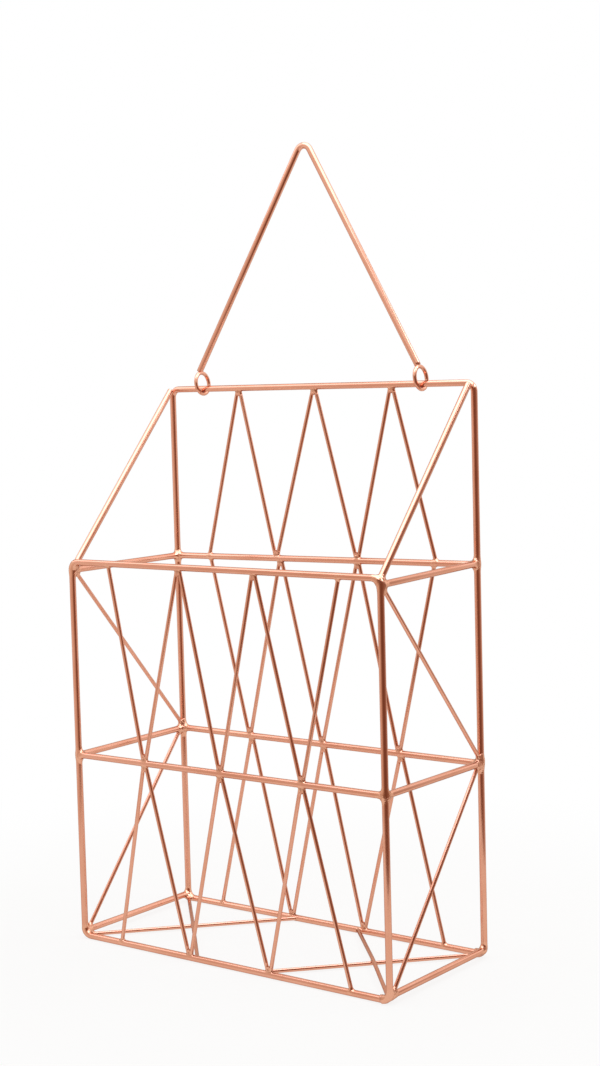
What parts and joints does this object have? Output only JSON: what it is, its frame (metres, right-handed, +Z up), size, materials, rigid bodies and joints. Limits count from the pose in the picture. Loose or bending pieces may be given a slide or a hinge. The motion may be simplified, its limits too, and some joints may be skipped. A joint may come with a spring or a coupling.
{
  "type": "wall magazine rack",
  "caption": "Welded wire pocket for magazines with zigzag infill, a taller back and a swinging triangular hanger.",
  "frame": {"origin": "middle of the bounding box, on the surface that the rack stands on", "axes": "+X right seen from the front, +Y to the wall, +Z up"},
  "size_m": [0.2258, 0.1048, 0.4702],
  "materials": {
    "wire": "satin copper-rose plating"
  },
  "bodies": {
    "rack": {"front_frame": "wire", "back_frame": "wire", "front_middle_rail": "wire", "back_middle_rail": "wire", "back_upper_rail": "wire", "front_upper_zigzag": "wire", "front_lower_zigzag": "wire", "back_top_zigzag": "wire", "back_middle_zigzag": "wire", "back_lower_zigzag": "wire", "left_upper_side_rail": "wire", "left_middle_side_rail": "wire", "left_bottom_side_rail": "wire", "left_slope_rail": "wire", "left_upper_brace": "wire", "left_lower_brace": "wire", "left_flat_floor_wire": "wire", "left_bowed_floor_wire": "wire", "right_upper_side_rail": "wire", "right_middle_side_rail": "wire", "right_bottom_side_rail": "wire", "right_slope_rail": "wire", "right_upper_brace": "wire", "right_lower_brace": "wire", "right_flat_floor_wire": "wire", "right_bowed_floor_wire": "wire"},
    "hanger": {"hanger_wire": "wire", "left_hanger_eye": "wire", "right_hanger_eye": "wire"}
  },
  "joints": [
    {"name": "hanger_swing", "type": "hinge", "parent": "rack", "child": "hanger", "pos_m": [0, 0.04502, 0.3274], "axis": [1, 0, 0], "range_deg": [-170, 136]}
  ]
}
